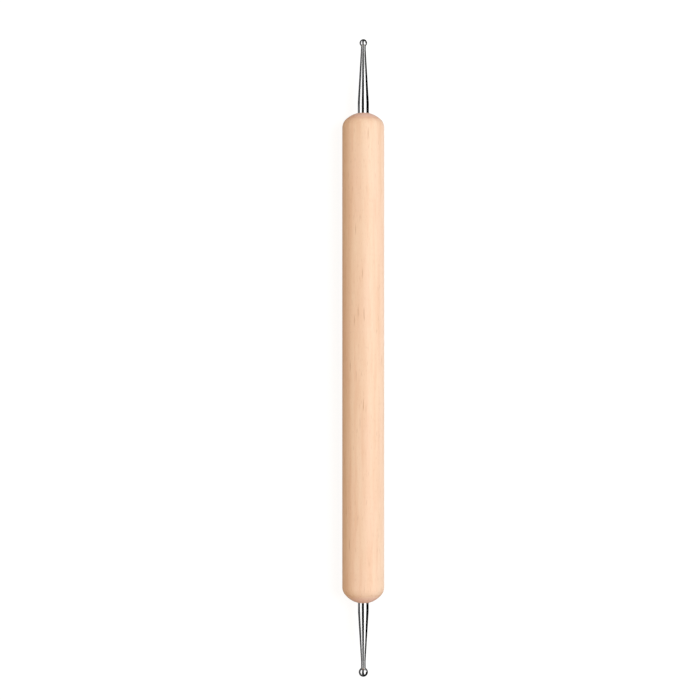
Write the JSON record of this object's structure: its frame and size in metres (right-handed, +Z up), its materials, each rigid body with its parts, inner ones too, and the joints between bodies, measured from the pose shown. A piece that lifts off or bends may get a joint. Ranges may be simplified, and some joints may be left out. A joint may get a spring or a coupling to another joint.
{
  "type": "embossing stylus",
  "caption": "Embossing stylus: a straight round wooden handle, domed at both ends, with a tapered steel shank and a polished ball tip at either end, the ball smaller at one end.",
  "frame": {"origin": "on the tool's axis, in the middle of the handle, where it is held", "axes": "+X along the axis towards the tip with the smaller ball, +Z up with the tool lying level"},
  "size_m": [0.1518, 0.01, 0.01],
  "materials": {
    "handle_wood": "smooth turned hardwood with a thin satin seal, pale peach, with faint streaks and short dark flecks along the grain",
    "polished_steel": "mirror-polished stainless steel with very fine turning marks",
    "silver_solder": "smooth silver solder, slightly warmer and duller than the steel",
    "epoxy": "cured epoxy adhesive, amber and glossy"
  },
  "bodies": {
    "root": {"handle": "handle_wood", "fine_shank": "polished_steel", "fine_ball": "polished_steel", "fine_braze": "silver_solder", "fine_adhesive": "epoxy", "broad_shank": "polished_steel", "broad_ball": "polished_steel", "broad_braze": "silver_solder", "broad_adhesive": "epoxy"}
  },
  "joints": []
}
